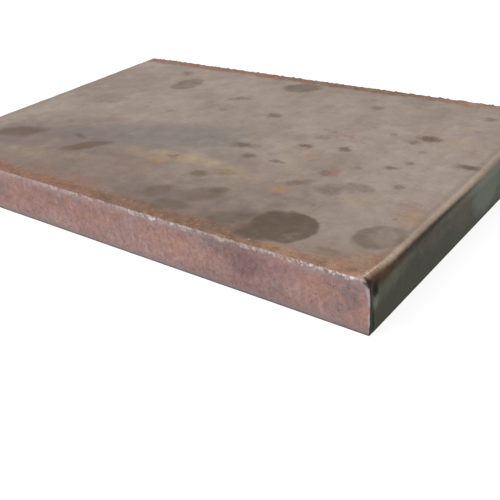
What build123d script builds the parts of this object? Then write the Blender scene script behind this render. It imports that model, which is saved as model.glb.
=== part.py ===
from build123d import *
import os

# Steel plate: one piece cut from a hot-rolled bar or strip, lying flat
# X runs between the two mill edges, Y between the two cut ends, Z is the thickness
# The origin is the middle of the underside, and all sizes are in millimetres

# Overall size
plate_length = 300.0
plate_width = 200.0
plate_thickness = 25.0

# Mill edges, as the rolls leave them: slightly crowned, with rounded arrises
mill_crown = 0.25
mill_top_radius = 2.2
mill_bottom_radius = 0.5

# Cut ends: the torch melts the upper arris round and leaves a small break below
cut_lip_radius = 1.4
cut_foot_radius = 0.35

# Near right corner: the mill edge's upper arris opens out over its last stretch
corner_radius = 3.6
corner_run = 28.0

# Scoop burnt into the mill edge behind that corner: a narrow groove that opens out above its waist
groove_width = 2.2
groove_depth = 0.35
scoop_waist_height = 13.0
scoop_top_width = 8.0
scoop_top_depth = 1.0
fin_thickness = 0.9

# How far the cutting solids run past the plate's faces
cutter_clearance = 5.0


def plate_section(right_top_radius):
    # Cross-section from mill edge to mill edge: flat faces, crowned edges, four rounded arrises
    # The right-hand upper arris has its own radius, because it opens out at the near corner
    corner_x = plate_length / 2 - mill_crown
    middle_z = plate_thickness / 2
    underside = Line((-corner_x, 0), (corner_x, 0))
    right_edge = ThreePointArc((corner_x, 0), (plate_length / 2, middle_z), (corner_x, plate_thickness))
    top = Line((corner_x, plate_thickness), (-corner_x, plate_thickness))
    left_edge = ThreePointArc((-corner_x, plate_thickness), (-plate_length / 2, middle_z), (-corner_x, 0))
    section = make_face([underside, right_edge, top, left_edge])
    foot_corners = section.vertices().group_by(Axis.Y)[0]
    section = fillet(foot_corners, mill_bottom_radius)
    right_corner = section.vertices().group_by(Axis.Y)[-1].sort_by(Axis.X)[-1]
    section = fillet(right_corner, right_top_radius)
    left_corner = section.vertices().group_by(Axis.Y)[-1].sort_by(Axis.X)[0]
    return fillet(left_corner, mill_top_radius)


def section_at(y, right_top_radius):
    # The cross-section stood up across the plate at a given Y
    return Plane((0, y, 0), x_dir=(1, 0, 0), z_dir=(0, -1, 0)) * plate_section(right_top_radius)


def growing_section(distance):
    # Cross-section at this distance from the near end: its right arris grows with the square
    # of how far it has come along the run
    share = 1 - distance / corner_run
    radius = mill_top_radius + (corner_radius - mill_top_radius) * share ** 2
    return section_at(-plate_width / 2 + distance, radius)


def rolled_bar():
    # The even stretch is drawn out along Y, and the near stretch lofts smoothly to the wider arris
    even_stretch = extrude(section_at(plate_width / 2, mill_top_radius), plate_width - corner_run)
    near_stretch = loft([growing_section(corner_run), growing_section(corner_run / 2), growing_section(0)])
    return even_stretch + near_stretch


def arris_cutter(radius, across_end, from_top):
    # Straight cutter along X that rounds one arris of a cut end: a square less the round that stays
    # across_end is -1 for the near end and 1 for the far one
    up = 1 if from_top else -1
    face_y = across_end * plate_width / 2
    face_z = plate_thickness if from_top else 0
    centre_y = face_y - across_end * radius
    centre_z = face_z - up * radius
    side = radius + cutter_clearance
    square = Pos(centre_y + across_end * side / 2, centre_z + up * side / 2) * Rectangle(side, side)
    profile = square - Pos(centre_y, centre_z) * Circle(radius)
    length = plate_length + 2 * cutter_clearance
    start = Plane((-length / 2, 0, 0), x_dir=(0, 1, 0), z_dir=(1, 0, 0))
    return extrude(start * profile, length)


def scoop_circle(z, width, depth):
    # Circle that cuts a valley of this width and depth into the mill edge at height z
    # The fin is left standing between the valley and the cut end
    radius = (width ** 2 / 4 + depth ** 2) / (2 * depth)
    centre_x = plate_length / 2 + radius - depth
    centre_y = -plate_width / 2 + fin_thickness + width / 2
    return Pos(centre_x, centre_y, z) * Circle(radius)


def corner_scoop():
    # Round cutter that stands outside the mill edge: straight up to the waist, and from there
    # a slanted cone that bites wider and deeper, and runs on past the top at the same slope
    rise = plate_thickness - scoop_waist_height
    width_slope = (scoop_top_width - groove_width) / rise
    depth_slope = (scoop_top_depth - groove_depth) / rise
    foot = scoop_circle(-cutter_clearance, groove_width, groove_depth)
    waist = scoop_circle(scoop_waist_height, groove_width, groove_depth)
    high = scoop_circle(
        plate_thickness + cutter_clearance,
        scoop_top_width + width_slope * cutter_clearance,
        scoop_top_depth + depth_slope * cutter_clearance,
    )
    return loft([foot, waist, high], ruled=True)


def steel_plate():
    plate = rolled_bar()
    for across_end in (-1, 1):
        plate -= arris_cutter(cut_lip_radius, across_end, from_top=True)
        plate -= arris_cutter(cut_foot_radius, across_end, from_top=False)
    plate -= corner_scoop()
    return plate


os.makedirs("parts", exist_ok=True)
export_step(steel_plate(), "parts/steel_plate.step")
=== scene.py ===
import math

import bpy
import numpy as np
from mathutils import Matrix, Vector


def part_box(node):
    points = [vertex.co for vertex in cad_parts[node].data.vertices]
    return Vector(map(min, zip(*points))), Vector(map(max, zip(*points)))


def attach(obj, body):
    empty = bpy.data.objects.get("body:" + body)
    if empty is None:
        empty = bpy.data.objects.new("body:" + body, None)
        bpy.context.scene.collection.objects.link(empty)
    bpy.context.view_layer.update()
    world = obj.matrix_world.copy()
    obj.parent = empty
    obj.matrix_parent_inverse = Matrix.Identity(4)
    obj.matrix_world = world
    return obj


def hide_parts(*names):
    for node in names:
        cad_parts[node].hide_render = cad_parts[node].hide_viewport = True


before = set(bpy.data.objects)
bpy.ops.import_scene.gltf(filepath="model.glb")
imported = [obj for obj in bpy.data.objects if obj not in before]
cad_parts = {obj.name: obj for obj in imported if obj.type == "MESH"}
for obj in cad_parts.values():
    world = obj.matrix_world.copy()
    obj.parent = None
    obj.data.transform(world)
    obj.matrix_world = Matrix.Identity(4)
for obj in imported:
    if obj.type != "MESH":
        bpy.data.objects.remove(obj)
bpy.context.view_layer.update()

# A hot-rolled steel plate lying flat: scale on both faces, two mill edges at the ends of X,
# two flame-cut ends at the ends of Y. Everything is worked out in millimetres from the
# middle of the underside and turned to metres as it goes into Blender.

boxLow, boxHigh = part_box("steel_plate")
metre = 1000.0                                        # millimetres in one
halfLength = round((boxHigh.x - boxLow.x) * metre) / 2
halfWidth = round((boxHigh.y - boxLow.y) * metre) / 2
thickness = float(round((boxHigh.z - boxLow.z) * metre))
nearCorner = np.array([halfLength, -halfWidth, 0.0])  # the corner that the camera looks at
print("plate", 2 * halfLength, "x", 2 * halfWidth, "x", thickness, "mm")


# Helpers for node trees

def toLinear(red, green, blue):
    # screen colour from 0 to 255, turned to the linear value that a shader wants
    parts = np.array([red, green, blue]) / 255
    light = np.where(parts <= 0.04045, parts / 12.92, ((parts + 0.055) / 1.055) ** 2.4)
    return (*[float(value) for value in light], 1.0)


def addNode(tree, kind, **settings):
    node = tree.nodes.new(kind)
    for name, value in settings.items():
        setattr(node, name, value)
    count = len(tree.nodes)
    node.location = (220 * (count % 10), -280 * (count // 10))  # rows of ten
    return node


def feed(tree, socket, value):
    # a socket takes another node's output, or a plain value
    if isinstance(value, bpy.types.NodeSocket):
        tree.links.new(value, socket)
    else:
        socket.default_value = value


def calc(tree, operation, first, second=0.0, third=0.0, clamp=False):
    node = addNode(tree, "ShaderNodeMath", operation=operation, use_clamp=clamp)
    for socket, value in zip(node.inputs, (first, second, third)):
        feed(tree, socket, value)
    return node.outputs[0]


def times(tree, first, second, clamp=False):
    return calc(tree, "MULTIPLY", first, second, clamp=clamp)


def plus(tree, first, second):
    return calc(tree, "ADD", first, second)


def minus(tree, first, second):
    return calc(tree, "SUBTRACT", first, second)


def opposite(tree, share, clamp=False):
    # 1 less the share
    return calc(tree, "SUBTRACT", 1.0, share, clamp=clamp)


def linear(tree, value, slope, start):
    # the value times the slope, on top of the start
    return calc(tree, "MULTIPLY_ADD", value, slope, start)


def vectorCalc(tree, operation, first, second=(0.0, 0.0, 0.0), third=(0.0, 0.0, 0.0)):
    node = addNode(tree, "ShaderNodeVectorMath", operation=operation)
    for socket, value in zip(node.inputs, (first, second, third)):
        feed(tree, socket, value)
    return node.outputs["Value" if operation == "LENGTH" else "Vector"]


def scaleVector(tree, vector, factor):
    node = addNode(tree, "ShaderNodeVectorMath", operation="SCALE")
    feed(tree, node.inputs["Vector"], vector)
    feed(tree, node.inputs["Scale"], factor)
    return node.outputs["Vector"]


def ease(tree, value, low, high):
    # 0 below low, 1 above high, eased in between
    node = addNode(tree, "ShaderNodeMapRange", interpolation_type="SMOOTHSTEP")
    feed(tree, node.inputs["Value"], value)
    feed(tree, node.inputs["From Min"], low)
    feed(tree, node.inputs["From Max"], high)
    return node.outputs["Result"]


def spread(tree, value, low, high):
    # 0 to 1 turned to low to high
    node = addNode(tree, "ShaderNodeMapRange")
    feed(tree, node.inputs["Value"], value)
    feed(tree, node.inputs["To Min"], low)
    feed(tree, node.inputs["To Max"], high)
    return node.outputs["Result"]


def feedColour(tree, socket, colour):
    # a colour is another node's output, a linear one of four parts, or a screen one of three
    screenColour = isinstance(colour, tuple) and len(colour) == 3
    feed(tree, socket, toLinear(*colour) if screenColour else colour)


def mixColours(tree, mask, first, second):
    node = addNode(tree, "ShaderNodeMix", data_type="RGBA")
    feed(tree, node.inputs["Factor"], mask)
    feedColour(tree, node.inputs["A"], first)
    feedColour(tree, node.inputs["B"], second)
    return node.outputs["Result"]


def noise(tree, place, size, detail=2.0, roughness=0.55, output="Fac"):
    # size is the width of one swell, in the place's own millimetres
    node = addNode(tree, "ShaderNodeTexNoise")
    feed(tree, node.inputs["Vector"], place)
    node.inputs["Scale"].default_value = 1 / size
    node.inputs["Detail"].default_value = detail
    node.inputs["Roughness"].default_value = roughness
    return node.outputs[output]


def attribute(tree, name):
    return addNode(tree, "ShaderNodeAttribute", attribute_name=name).outputs["Fac"]


def startGroup(name, takes, gives):
    tree = bpy.data.node_groups.new(name, "ShaderNodeTree")
    for label, kind in takes.items():
        tree.interface.new_socket(name=label, in_out="INPUT", socket_type="NodeSocket" + kind)
    for label, kind in gives.items():
        tree.interface.new_socket(name=label, in_out="OUTPUT", socket_type="NodeSocket" + kind)
    return tree, addNode(tree, "NodeGroupInput").outputs, addNode(tree, "NodeGroupOutput").inputs


def placeGroup(tree, group, **values):
    node = addNode(tree, "ShaderNodeGroup", node_tree=group)
    for label, value in values.items():
        feed(tree, node.inputs[label], value)
    return node.outputs


# Node groups that the finishes share

def inSizes(tree, takes):
    # the group's place, measured in its own size
    return scaleVector(tree, takes["Place"], calc(tree, "DIVIDE", 1.0, takes["Size"]))


def makeStainGroup():
    # one oval patch: distance from its centre in radii, with a soft edge, laid over earlier patches
    tree, takes, gives = startGroup(
        "stainPatch",
        {"Place": "Vector", "Centre": "Vector", "Radii": "Vector", "Turn": "Float",
         "Softness": "Float", "Strength": "Float", "Earlier": "Float"},
        {"Mask": "Float"},
    )
    away = vectorCalc(tree, "SUBTRACT", takes["Place"], takes["Centre"])
    flat = vectorCalc(tree, "MULTIPLY", away, (1.0, 1.0, 0.0))
    turned = addNode(tree, "ShaderNodeVectorRotate", rotation_type="Z_AXIS", invert=True)
    feed(tree, turned.inputs["Vector"], flat)
    feed(tree, turned.inputs["Angle"], takes["Turn"])
    radiiAway = vectorCalc(tree, "LENGTH", vectorCalc(tree, "DIVIDE", turned.outputs[0], takes["Radii"]))
    inner = opposite(tree, takes["Softness"])
    outer = plus(tree, 1.0, takes["Softness"])
    outside = ease(tree, radiiAway, inner, outer)
    patch = times(tree, opposite(tree, outside), takes["Strength"])
    feed(tree, gives["Mask"], calc(tree, "MAXIMUM", patch, takes["Earlier"]))
    return tree


def makeSpeckGroup():
    # scattered specks: in each cell a dot of its own size, and no dot in most of the cells
    tree, takes, gives = startGroup(
        "scatteredSpecks",
        {"Place": "Vector", "Size": "Float", "Share": "Float"},
        {"Mask": "Float"},
    )
    cells = addNode(tree, "ShaderNodeTexVoronoi", voronoi_dimensions="3D")
    feed(tree, cells.inputs["Vector"], inSizes(tree, takes))
    cells.inputs["Scale"].default_value = 1.0
    parts = addNode(tree, "ShaderNodeSeparateColor")
    feed(tree, parts.inputs[0], cells.outputs["Color"])
    chosen = calc(tree, "LESS_THAN", parts.outputs["Red"], takes["Share"])
    reach = spread(tree, parts.outputs["Green"], 0.12, 0.42)
    within = ease(tree, minus(tree, reach, cells.outputs["Distance"]), 0.0, 0.14)
    feed(tree, gives["Mask"], times(tree, within, chosen))
    return tree


def makeGrainGroup():
    # fine grain: layered noise, which lightens and darkens a colour and gives a height
    tree, takes, gives = startGroup(
        "surfaceGrain",
        {"Colour": "Color", "Place": "Vector", "Size": "Float", "Contrast": "Float"},
        {"Colour": "Color", "Height": "Float"},
    )
    grain = noise(tree, inSizes(tree, takes), 1.0, detail=3.0, roughness=0.7)
    factor = linear(tree, minus(tree, grain, 0.5), takes["Contrast"], 1.0)
    feed(tree, gives["Colour"], scaleVector(tree, takes["Colour"], factor))
    feed(tree, gives["Height"], grain)
    return tree


def makeRustGroup():
    # rust where the mask asks for it: its edge is broken up by noise, its ground runs from deep
    # to middle, and bright tufts stand out of it
    tree, takes, gives = startGroup(
        "rustBloom",
        {"Colour": "Color", "Place": "Vector", "Where": "Float", "Size": "Float",
         "Deep": "Color", "Middle": "Color", "Bright": "Color"},
        {"Colour": "Color", "Mask": "Float", "Height": "Float"},
    )
    place = inSizes(tree, takes)
    bloom = noise(tree, place, 1.0, detail=4.0, roughness=0.65)
    broken = plus(tree, takes["Where"], times(tree, minus(tree, bloom, 0.5), 1.1))
    mask = times(tree, ease(tree, broken, 0.1, 0.95), ease(tree, takes["Where"], 0.0, 0.3))
    tone = noise(tree, place, 2.4, detail=5.0, roughness=0.75)
    rustColour = mixColours(tree, ease(tree, tone, 0.36, 0.6), takes["Deep"], takes["Middle"])
    tufts = noise(tree, place, 0.8, detail=3.0, roughness=0.6)
    patchy = noise(tree, place, 4.0, detail=1.0)
    tuftShare = times(tree, ease(tree, tufts, 0.54, 0.72), ease(tree, patchy, 0.36, 0.62))
    rustColour = mixColours(tree, tuftShare, rustColour, takes["Bright"])
    feed(tree, gives["Colour"], mixColours(tree, mask, takes["Colour"], rustColour))
    feed(tree, gives["Mask"], mask)
    feed(tree, gives["Height"], times(tree, mask, tone))
    return tree


def makeFinBreaksGroup():
    # where the thin fin by the near corner is broken away: noise drawn out past 0 and 1
    tree, takes, gives = startGroup("finBreaks", {"Place": "Vector"}, {"Mask": "Float"})
    feed(tree, gives["Mask"], spread(tree, noise(tree, takes["Place"], 2.6, detail=4.0), -0.3, 1.6))
    return tree


stainPatch = makeStainGroup()
scatteredSpecks = makeSpeckGroup()
surfaceGrain = makeGrainGroup()
rustBloom = makeRustGroup()
finBreaks = makeFinBreaksGroup()
print("node groups ready")


# What the three finishes have in common

def startMaterial(name):
    material = bpy.data.materials.new(name)
    material.use_nodes = True
    tree = material.node_tree
    tree.nodes.clear()
    objectPlace = addNode(tree, "ShaderNodeTexCoord").outputs["Object"]
    inMillimetres = vectorCalc(tree, "MULTIPLY", objectPlace, (metre, metre, metre))
    place = vectorCalc(tree, "SUBTRACT", inMillimetres, tuple(nearCorner))
    return material, tree, place


def wander(tree, place, *swells):
    # each swell pushes the points sideways by up to its reach, so that outlines drawn on them are uneven
    for reach, size in swells:
        push = vectorCalc(tree, "SUBTRACT", noise(tree, place, size, output="Color"), (0.5, 0.5, 0.5))
        place = vectorCalc(tree, "ADD", place, vectorCalc(tree, "MULTIPLY", push, (2 * reach,) * 3))
    return place


def layPatches(tree, place, patches):
    # the patches of one kind, one over the other: x, y, two radii, turn in degrees, softness, strength
    mask = 0.0
    for x, y, radiusX, radiusY, turn, softness, strength in patches:
        mask = placeGroup(
            tree, stainPatch, Place=place, Centre=(x, y, 0.0), Radii=(radiusX, radiusY, 1.0),
            Turn=math.radians(turn), Softness=softness, Strength=strength, Earlier=mask,
        )["Mask"]
    return mask


def layStretches(tree, place, stretches):
    # patches that run over an end's whole height: x, half their length, softness, strength
    tall = 30
    patches = [(x, 0, reach, tall, 0, softness, strength) for x, reach, softness, strength in stretches]
    return layPatches(tree, place, patches)


def splitPlace(tree, place):
    node = addNode(tree, "ShaderNodeSeparateXYZ")
    feed(tree, node.inputs[0], place)
    return node.outputs


def facePlace(tree, place, along):
    # a place on an upright face: how far along it, how high
    parts = splitPlace(tree, place)
    node = addNode(tree, "ShaderNodeCombineXYZ")
    feed(tree, node.inputs["X"], parts[along])
    feed(tree, node.inputs["Y"], parts["Z"])
    return node.outputs[0]


def edgeDistance(tree, coordinate, half):
    # distance in from the nearer of two opposite edges, where one of them is at 0
    centred = minus(tree, calc(tree, "ABSOLUTE", coordinate), half)
    return minus(tree, half, calc(tree, "ABSOLUTE", centred))


def breakUp(tree, mask, place, size, amount=1.3):
    # a soft mask made blotchy: noise is added to it, and its own outline keeps that in bounds
    blotchy = ease(tree, plus(tree, mask, swing(tree, place, size, amount, detail=4.0)), -0.1, 1.2)
    return times(tree, blotchy, ease(tree, mask, 0.0, 0.35))


def blotches(tree, outline, patches, place, size, amount=1.3):
    # the patches of one kind, made blotchy
    return breakUp(tree, layPatches(tree, outline, patches), place, size, amount)


def swing(tree, place, size, reach, detail=2.0):
    # noise that swings about 0 by up to half the reach
    return times(tree, minus(tree, noise(tree, place, size, detail=detail), 0.5), reach)


def elsewhere(tree, place, shift):
    # a pattern read elsewhere isn't the copy of the one that is read here
    return vectorCalc(tree, "ADD", place, shift)


def brighten(tree, colour, pattern, amount):
    # a pattern from 0 to 1 lightens or darkens the colour by up to this share of it
    return scaleVector(tree, colour, linear(tree, minus(tree, pattern, 0.5), 2 * amount, 1.0))


def placeGrain(tree, colour, place, look):
    size, contrast = look["grainSize"], look["grainContrast"]
    return placeGroup(tree, surfaceGrain, Colour=colour, Place=place, Size=size, Contrast=contrast)


def finishMaterial(tree, colour, roughness, metallic, height, relief, shine):
    # relief is the height of one unit of the height socket, in millimetres
    shader = addNode(tree, "ShaderNodeBsdfPrincipled")
    shader.inputs["Specular IOR Level"].default_value = shine
    bump = addNode(tree, "ShaderNodeBump")
    bump.inputs["Distance"].default_value = relief / metre
    feed(tree, bump.inputs["Height"], height)
    feed(tree, shader.inputs["Base Color"], colour)
    feed(tree, shader.inputs["Roughness"], roughness)
    feed(tree, shader.inputs["Metallic"], metallic)
    feed(tree, shader.inputs["Normal"], bump.outputs["Normal"])
    feed(tree, addNode(tree, "ShaderNodeOutputMaterial").inputs["Surface"], shader.outputs["BSDF"])


# Mill scale on the two faces. Patches are placed in millimetres from the near corner:
# x runs to the left as minus, y runs away from the cut end.

scaleLook = {
    "warm": (145, 129, 117),
    "tan": (134, 117, 105),
    "brown": (120, 100, 88),
    "pale": (153, 138, 128),
    "blue": (116, 106, 97),
    # painted shade: the top darker where its light falls off, towards the left and front
    "paintedShade": (106, 91, 84),
    "olive": (148, 128, 104),
    "yellow": (156, 142, 110),
    "stain": (84, 68, 53),
    "paleStain": (106, 90, 76),
    "heart": (134, 119, 106),         # lighter middle of a ring-shaped stain
    "fleck": (90, 67, 53),
    "oliveFleck": (102, 83, 60),
    "umber": (106, 82, 72),
    "redRust": (138, 101, 87),
    "orangeRust": (156, 122, 90),
    "bandDeep": (100, 74, 58),
    "bandRed": (128, 97, 78),
    "bandWarmDeep": (122, 94, 75),    # of the band's stretch by the near corner
    "bandWarm": (161, 121, 98),
    "bandFarDeep": (112, 80, 64),     # of its stretch towards the far left
    "bandFar": (138, 98, 80),
    "bandBright": (170, 126, 90),
    "bandWidth": 8.0,                 # how far the rust creeps in from a cut edge
    "bandNarrows": (-80.0, -55.0),    # x over which it narrows towards the near corner
    "bandWarms": (-68.0, -40.0),      # x over which it grows warmer towards that corner
    "bandLeavesFar": (-172.0, -140.0),  # x over which it leaves its far tones
    "streakRed": (142, 100, 85),       # streaks between the rust and the near corner
    "streakOlive": (144, 129, 98),
    # the pale line beside a mill edge is worn scale and a painted highlight where the round starts; where
    # it is rubbed bare it is brightest, partly as painted highlight
    "wornHighlightLine": (158, 142, 125),
    "wornHighlightWidth": 3.6,                 # of the pale line beside a mill edge
    "rubbedBareHighlight": (198, 174, 152),      # of that line where it is rubbed bare
    # how far outlines wander, and in swells of what width
    "outlineSwells": ((2.2, 9.0), (0.7, 2.6)),
    "fraying": (0.4, 1.0),
    "rubbedHighlightSwell": (0.7, 2.2),
    # how strongly each layer shows
    "cloudContrast": 0.34,
    "mottleContrast": 0.15,
    "tintCover": 0.3,
    "streakCover": 0.75,
    "wornHighlightCover": 0.45,
    "wornShadow": 0.26,
    "straySpecks": ((7.5, 0.16, 0.3), (2.6, 0.12, 0.22)),  # width of a cell, share with one, strength
    "grainSize": 0.9,
    "grainContrast": 0.18,
    "grainHeight": 0.5,
    "rustHeight": 1.4,
    "roughness": (0.38, 0.56),
    "dullness": 0.2,                  # what stains and rust add to the roughness
    "metallic": 0.12,                 # where there is neither
    "paleAreas": [
        (-30, 90, 46, 60, 0, 0.9, 0.8),
        (-30, 45, 30, 20, 0, 0.9, 0.6),
        (-95, 125, 30, 20, 0, 0.9, 0.4),
        (-52, 140, 24, 8, 0, 0.8, 0.7),
        (-108, 96, 14, 9, 0, 0.8, 0.6),
    ],
    "brownAreas": [
        (-215, 25, 76, 60, 0, 0.35, 1.0),
        (-110, 4, 74, 27, 0, 0.4, 0.75),
        (-22, 4, 42, 18, 0, 0.6, 0.6),
        (-68, 88, 18, 14, 0, 0.8, 0.5),
        (-255, 46, 18, 20, 0, 0.9, 0.8),
        (-290, 140, 40, 30, 0, 0.9, 0.7),
    ],
    "blueAreas": [
        (-174, 78, 52, 20, 16, 0.45, 1.0),
        (-124, 70, 26, 8, -6, 0.6, 0.6),
    ],
    # areas of painted shade, mostly at the left and front of the top
    "paintedShadeAreas": [
        (-224, 56, 32, 12, 15, 0.7, 0.9),
        (-262, 45, 18, 12, 20, 0.7, 0.9),
        (-206, 42, 22, 12, 20, 0.8, 0.8),
        (-252, 28, 18, 9, 0, 0.9, 0.9),
        (-72, 55, 9, 7, 0, 0.9, 0.3),
        (-192, 20, 14, 7, 0, 0.9, 0.4),
        (-126, 15, 34, 14, 0, 0.8, 0.8),
        (-78, 16, 20, 14, 20, 0.8, 0.6),
        (-72, 46, 6, 9, 40, 0.9, 0.25),
        (-90, 31, 9, 8, 0, 0.8, 0.7),
        (-124, 36, 13, 6, 0, 0.9, 0.6),
        (-135, 27, 8, 6, 0, 0.9, 0.6),
        (-256, 34, 18, 8, 10, 0.8, 1.0),
        (-68, 46, 26, 22, 0, 0.8, 0.5),
        (-78, 62, 12, 8, 0, 0.9, 0.3),
        (-120, 62, 8, 5, 0, 0.9, 0.3),
        (-36, 31, 9, 9, 0, 0.9, 0.3),
    ],
    "oliveBands": [
        (-140, 58.5, 25, 5.6, 4, 0.6, 1.0),
        (-112, 57, 22, 5, -10, 0.7, 0.8),
        (-172, 54, 26, 6.5, 6, 0.7, 0.4),
        (-236, 24, 18, 5.5, 4, 0.9, 0.75),
        (-198, 34, 13, 5, 12, 0.9, 0.45),
        (-99, 93, 10, 6, 0, 0.9, 0.5),
        (-25, 139, 18, 6, 0, 0.9, 0.6),
        (-36, 57, 11, 7, 25, 0.9, 0.6),
    ],
    "yellowGlints": [
        (-129, 59.5, 13, 3.4, -4, 0.8, 0.55),
        (-87, 78, 14, 5, -20, 0.9, 0.3),
    ],
    "darkStains": [
        (-51.4, 20.4, 13.6, 13.2, 0, 0.1, 0.95),
        (-56.2, 21.8, 13.6, 12, 10, 0.25, 1.0),
        (-60.5, 12, 10, 8, -20, 0.6, 0.85),
        (-61, 7, 10, 4.2, 0, 0.6, 1.0),
        (-111, 13, 10, 5, 8, 0.35, 0.34),
        (-127, 20.5, 7.5, 7, 20, 0.35, 0.32),
        (-103, 27.5, 9, 6.4, 48, 0.4, 0.28),
        (-66, 34, 6, 5, 30, 0.7, 0.5),
        (-74, 19, 14, 6, 32, 0.7, 0.55),
        (-80, 13, 11, 4.4, 20, 0.8, 0.55),
        (-79, 3, 9, 3.6, 0, 0.8, 0.7),
        (-101, 35.4, 5, 3.4, 40, 0.6, 0.45),
        (-99.5, 36, 4.6, 3, 40, 0.6, 0.6),
        (-206, 46, 12.6, 4.8, 46, 0.55, 1.0),
        (-220, 54.8, 6.5, 2.4, -16, 0.7, 0.6),
        (-262, 44, 15, 6.5, 25, 0.7, 1.0),
        (-261, 42, 9, 4, 25, 0.6, 0.7),
        (-150, 182, 13, 9, 20, 0.3, 0.7),
        (-228, 158, 10, 12, 0, 0.3, 0.6),
    ],
    "paleStains": [
        (-13, 31, 11.8, 9.4, 45, 0.22, 0.95),
        (-127, 21, 8, 7.4, 20, 0.35, 0.95),
        (-104.5, 28.5, 12, 7.4, 48, 0.35, 1.0),
        (-56, 44, 12, 9, 0, 0.8, 0.3),
        (-111, 13.4, 13, 4.8, 8, 0.4, 0.9),
        (-83, 15, 14, 7, 12, 0.8, 0.5),
        (-24, 10, 8, 4, 0, 0.7, 0.5),
        (-54, 60, 8, 5.5, 0, 0.6, 0.75),
        (-45, 67, 9, 5.5, 12, 0.5, 0.65),
        (-235, 22, 20, 9, 10, 0.8, 0.35),
        (-195, 20, 12, 9, 0, 0.8, 0.4),
        (-91, 115, 4.6, 3.6, 0, 0.6, 0.65),
        (-47, 129, 4.5, 3.5, 0, 0.6, 0.6),
        (-258, 112, 14, 10, 30, 0.5, 0.6),
        (-70, 186, 12, 7, 0, 0.5, 0.5),
        (-180, 128, 18, 8, 15, 0.8, 0.4),
    ],
    "stainHearts": [
        (-44, 14, 5, 6, -40, 0.5, 0.3),
        (-10.5, 33, 6.5, 7.5, 0, 0.6, 0.8),
    ],
    "flecks": [
        (-125.6, 86.2, 5.0, 3.5, 10, 0.75, 1),
        (-119, 87, 4.5, 2.8, 0, 0.75, 0.6),
        (-113.6, 75.6, 4.0, 2.8, 0, 0.75, 0.9),
        (-94.8, 75.8, 5.0, 1.7, 5, 0.75, 0.8),
        (-93.4, 100, 4.4, 2.0, 0, 0.75, 0.85),
        (-73, 105, 3.5, 2.6, 0, 0.75, 1),
        (-40.7, 136.3, 6.6, 3.8, 0, 0.75, 1),
        (-46, 129, 2.6, 2.8, 0, 0.75, 0.45),
        (-41, 94.8, 4.2, 2.2, 25, 0.75, 0.75),
        (-35.7, 102.8, 2.8, 2.0, 0, 0.75, 0.7),
        (-27.5, 77.2, 3.2, 2.5, 35, 0.75, 0.7),
        (-55.5, 87, 2.5, 2.1, 0, 0.75, 0.5),
        (-9, 111.3, 6.6, 2.4, 0, 0.75, 1),
        (-82, 8, 3.8, 1.8, -40, 0.75, 0.7),
        (-86, 12, 2.2, 1.6, 0, 0.75, 0.5),
        (-137, 132, 5.6, 3.4, 0, 0.75, 0.8),
        (-176, 148, 6.7, 3.9, 30, 0.75, 0.7),
        (-88, 168, 4.5, 3.4, 0, 0.75, 0.8),
        (-245, 178, 5.6, 3.4, -20, 0.75, 0.7),
        (-24, 176, 4.5, 2.8, 10, 0.75, 0.7),
    ],
    "oliveFlecks": [
        (-122.6, 45.8, 5.4, 3.4, 8, 0.5, 0.95),
        (-111, 53.3, 6.4, 3.8, 5, 0.7, 0.6),
        (-94, 97, 7, 3.4, 0, 0.8, 0.35),
    ],
    "umberMarks": [
        (-72, 60, 6.6, 2.8, 42, 0.6, 0.8),
        (-66.5, 74.5, 3.4, 4, 20, 0.7, 0.6),
        (-149.5, 57, 5, 3, 10, 0.7, 0.6),
        (-12, 109, 7, 3.6, 0, 0.9, 0.35),
        (-82, 10, 5, 3, -35, 0.8, 0.5),
        (-138, 11, 14, 5.5, 0, 0.9, 0.5),
        (-198, 12, 34, 7, 0, 0.9, 0.32),
        (-206, 46, 11, 4.2, 46, 0.6, 0.8),
        (-262, 42, 13, 6, 25, 0.7, 0.7),
    ],
    "redMarks": [
        (-63.4, 77, 4.6, 5.4, 0, 0.5, 0.8),
        (-13, 61, 7, 5.5, 0, 0.8, 0.5),
        (-171, 13, 15, 4, 0, 0.8, 0.6),
        (-203, 13, 10, 4, 0, 0.8, 0.5),
        (-82, 121, 9, 7, 0, 0.9, 0.4),
        (-6.2, 13, 3, 7, -8, 0.6, 0.8),
        (-14, 8, 10, 3.8, 12, 0.7, 0.85),
    ],
    "orangeMarks": [
        (-75.7, 50.5, 5.4, 4, 0, 0.6, 0.8),
        (-84, 90, 3.2, 5, 10, 0.8, 0.55),
        (-155, 50, 7, 3.4, 0, 0.7, 0.7),
        (-40, 131, 8, 3, 0, 0.9, 0.4),
        (-110, 54, 8, 3.4, 15, 0.8, 0.3),
        (-74, 64, 2.4, 1.2, 0, 0.6, 0.6),
        (-147, 58, 8, 3.6, 0, 0.7, 0.4),
        (-10, 52, 7, 7, 0, 0.9, 0.5),
        (-150, 36, 20, 7, 0, 0.9, 0.2),
    ],
    "streakPatches": [
        (-10, 11, 9, 7, 25, 0.5, 1.0),
        (-23, 7, 12, 4, 6, 0.8, 0.7),
        (-5.2, 22, 2, 9, 0, 0.8, 0.5),
    ],
    # bright rubbed stretches of the mill arrises, partly painted highlight
    "bareHighlightPatches": [
        (-1.8, 20, 1.2, 14, 0, 0.9, 0.45),
        (-2.2, 13, 1.2, 4.4, 0, 0.8, 0.6),
        (-2.9, 8, 1.2, 4.4, 0, 0.8, 0.7),
        (-3.4, 4, 1.3, 3.2, 0, 0.8, 0.8),
        (-4.6, 1.6, 1.6, 1.6, 0, 0.8, 0.6),
        (-1.5, 86, 1.1, 28, 0, 0.9, 0.4),
    ],
}


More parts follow.
